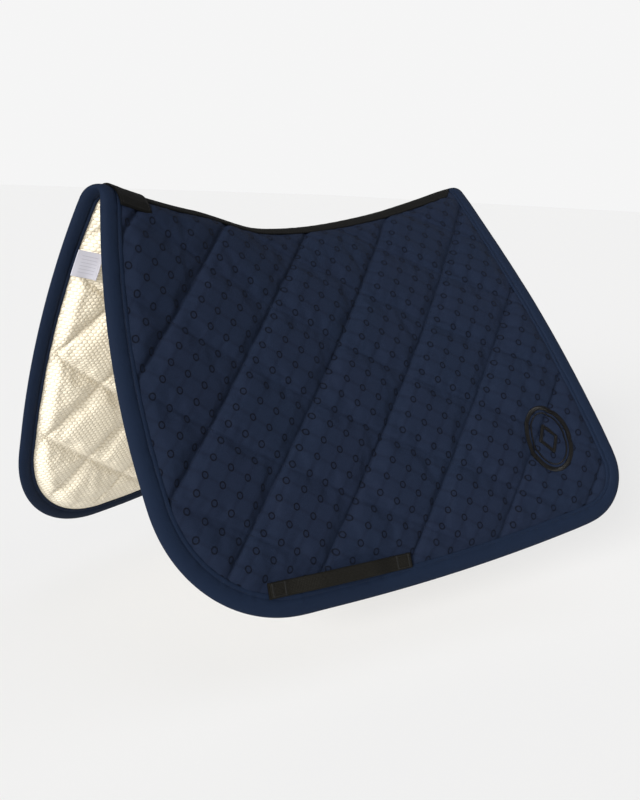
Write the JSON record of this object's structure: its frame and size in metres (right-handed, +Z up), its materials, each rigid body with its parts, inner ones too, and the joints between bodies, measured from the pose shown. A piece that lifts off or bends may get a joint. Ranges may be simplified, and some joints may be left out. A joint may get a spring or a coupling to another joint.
{
  "type": "saddle pad",
  "caption": "Quilted dressage saddle pad with two flaps joined at a contoured spine, bound edges, withers strap, girth keeper loops and mesh lining.",
  "frame": {"origin": "underside of the spine at the lowest point of its dip, where the pad rests on the horse's back or on a rack", "axes": "+X towards the horse's head, +Y to the horse's left (near) side, +Z up"},
  "size_m": [0.6047, 0.6112, 0.4328],
  "materials": {
    "quilted_shell": "satin quilted cotton, printed with small rings",
    "binding": "smooth cotton binding",
    "lining": "cream air mesh",
    "foam": "foam and wadding",
    "black_mesh": "black spacer mesh",
    "black_webbing": "black woven webbing",
    "embroidery": "black satin stitch",
    "label": "white satin label"
  },
  "bodies": {
    "spine": {"spine_mesh_strip": "black_mesh", "inner_spine_tape": "black_mesh", "withers_strap": "black_webbing", "front_arch_binding": "binding", "rear_arch_binding": "binding", "left_upper_shell": "quilted_shell", "right_upper_shell": "quilted_shell", "left_upper_foam": "foam", "right_upper_foam": "foam", "left_upper_lining": "lining", "right_upper_lining": "lining"},
    "left_flap": {"left_outer_shell": "quilted_shell", "left_foam_core": "foam", "left_lining": "lining", "left_edge_binding": "binding", "left_girth_loop": "black_webbing", "left_loop_bartacks": "embroidery", "left_emblem": "embroidery"},
    "right_flap": {"right_outer_shell": "quilted_shell", "right_foam_core": "foam", "right_lining": "lining", "right_edge_binding": "binding", "right_girth_loop": "black_webbing", "right_loop_bartacks": "embroidery", "right_emblem": "embroidery"},
    "care_label": {"care_label": "label"}
  },
  "joints": [
    {"name": "left_flap_fold", "type": "hinge", "parent": "spine", "child": "left_flap", "pos_m": [0, 0.01, -0.0075], "axis": [0.9998, -0.0105, -0.0175], "range_deg": [-14, 15], "stiffness_Nm_per_rad": 2, "springref_deg": 29.62},
    {"name": "right_flap_fold", "type": "hinge", "parent": "spine", "child": "right_flap", "pos_m": [0, -0.01, -0.0075], "axis": [-0.9998, -0.0105, 0.0175], "range_deg": [-14, 15], "stiffness_Nm_per_rad": 2, "springref_deg": 29.62},
    {"name": "care_label_hinge", "type": "hinge", "parent": "right_flap", "child": "care_label", "pos_m": [0.29305, -0.03058, -0.02041], "axis": [0.1502, -0.3351, -0.9301], "range_deg": [-3, 100]}
  ]
}
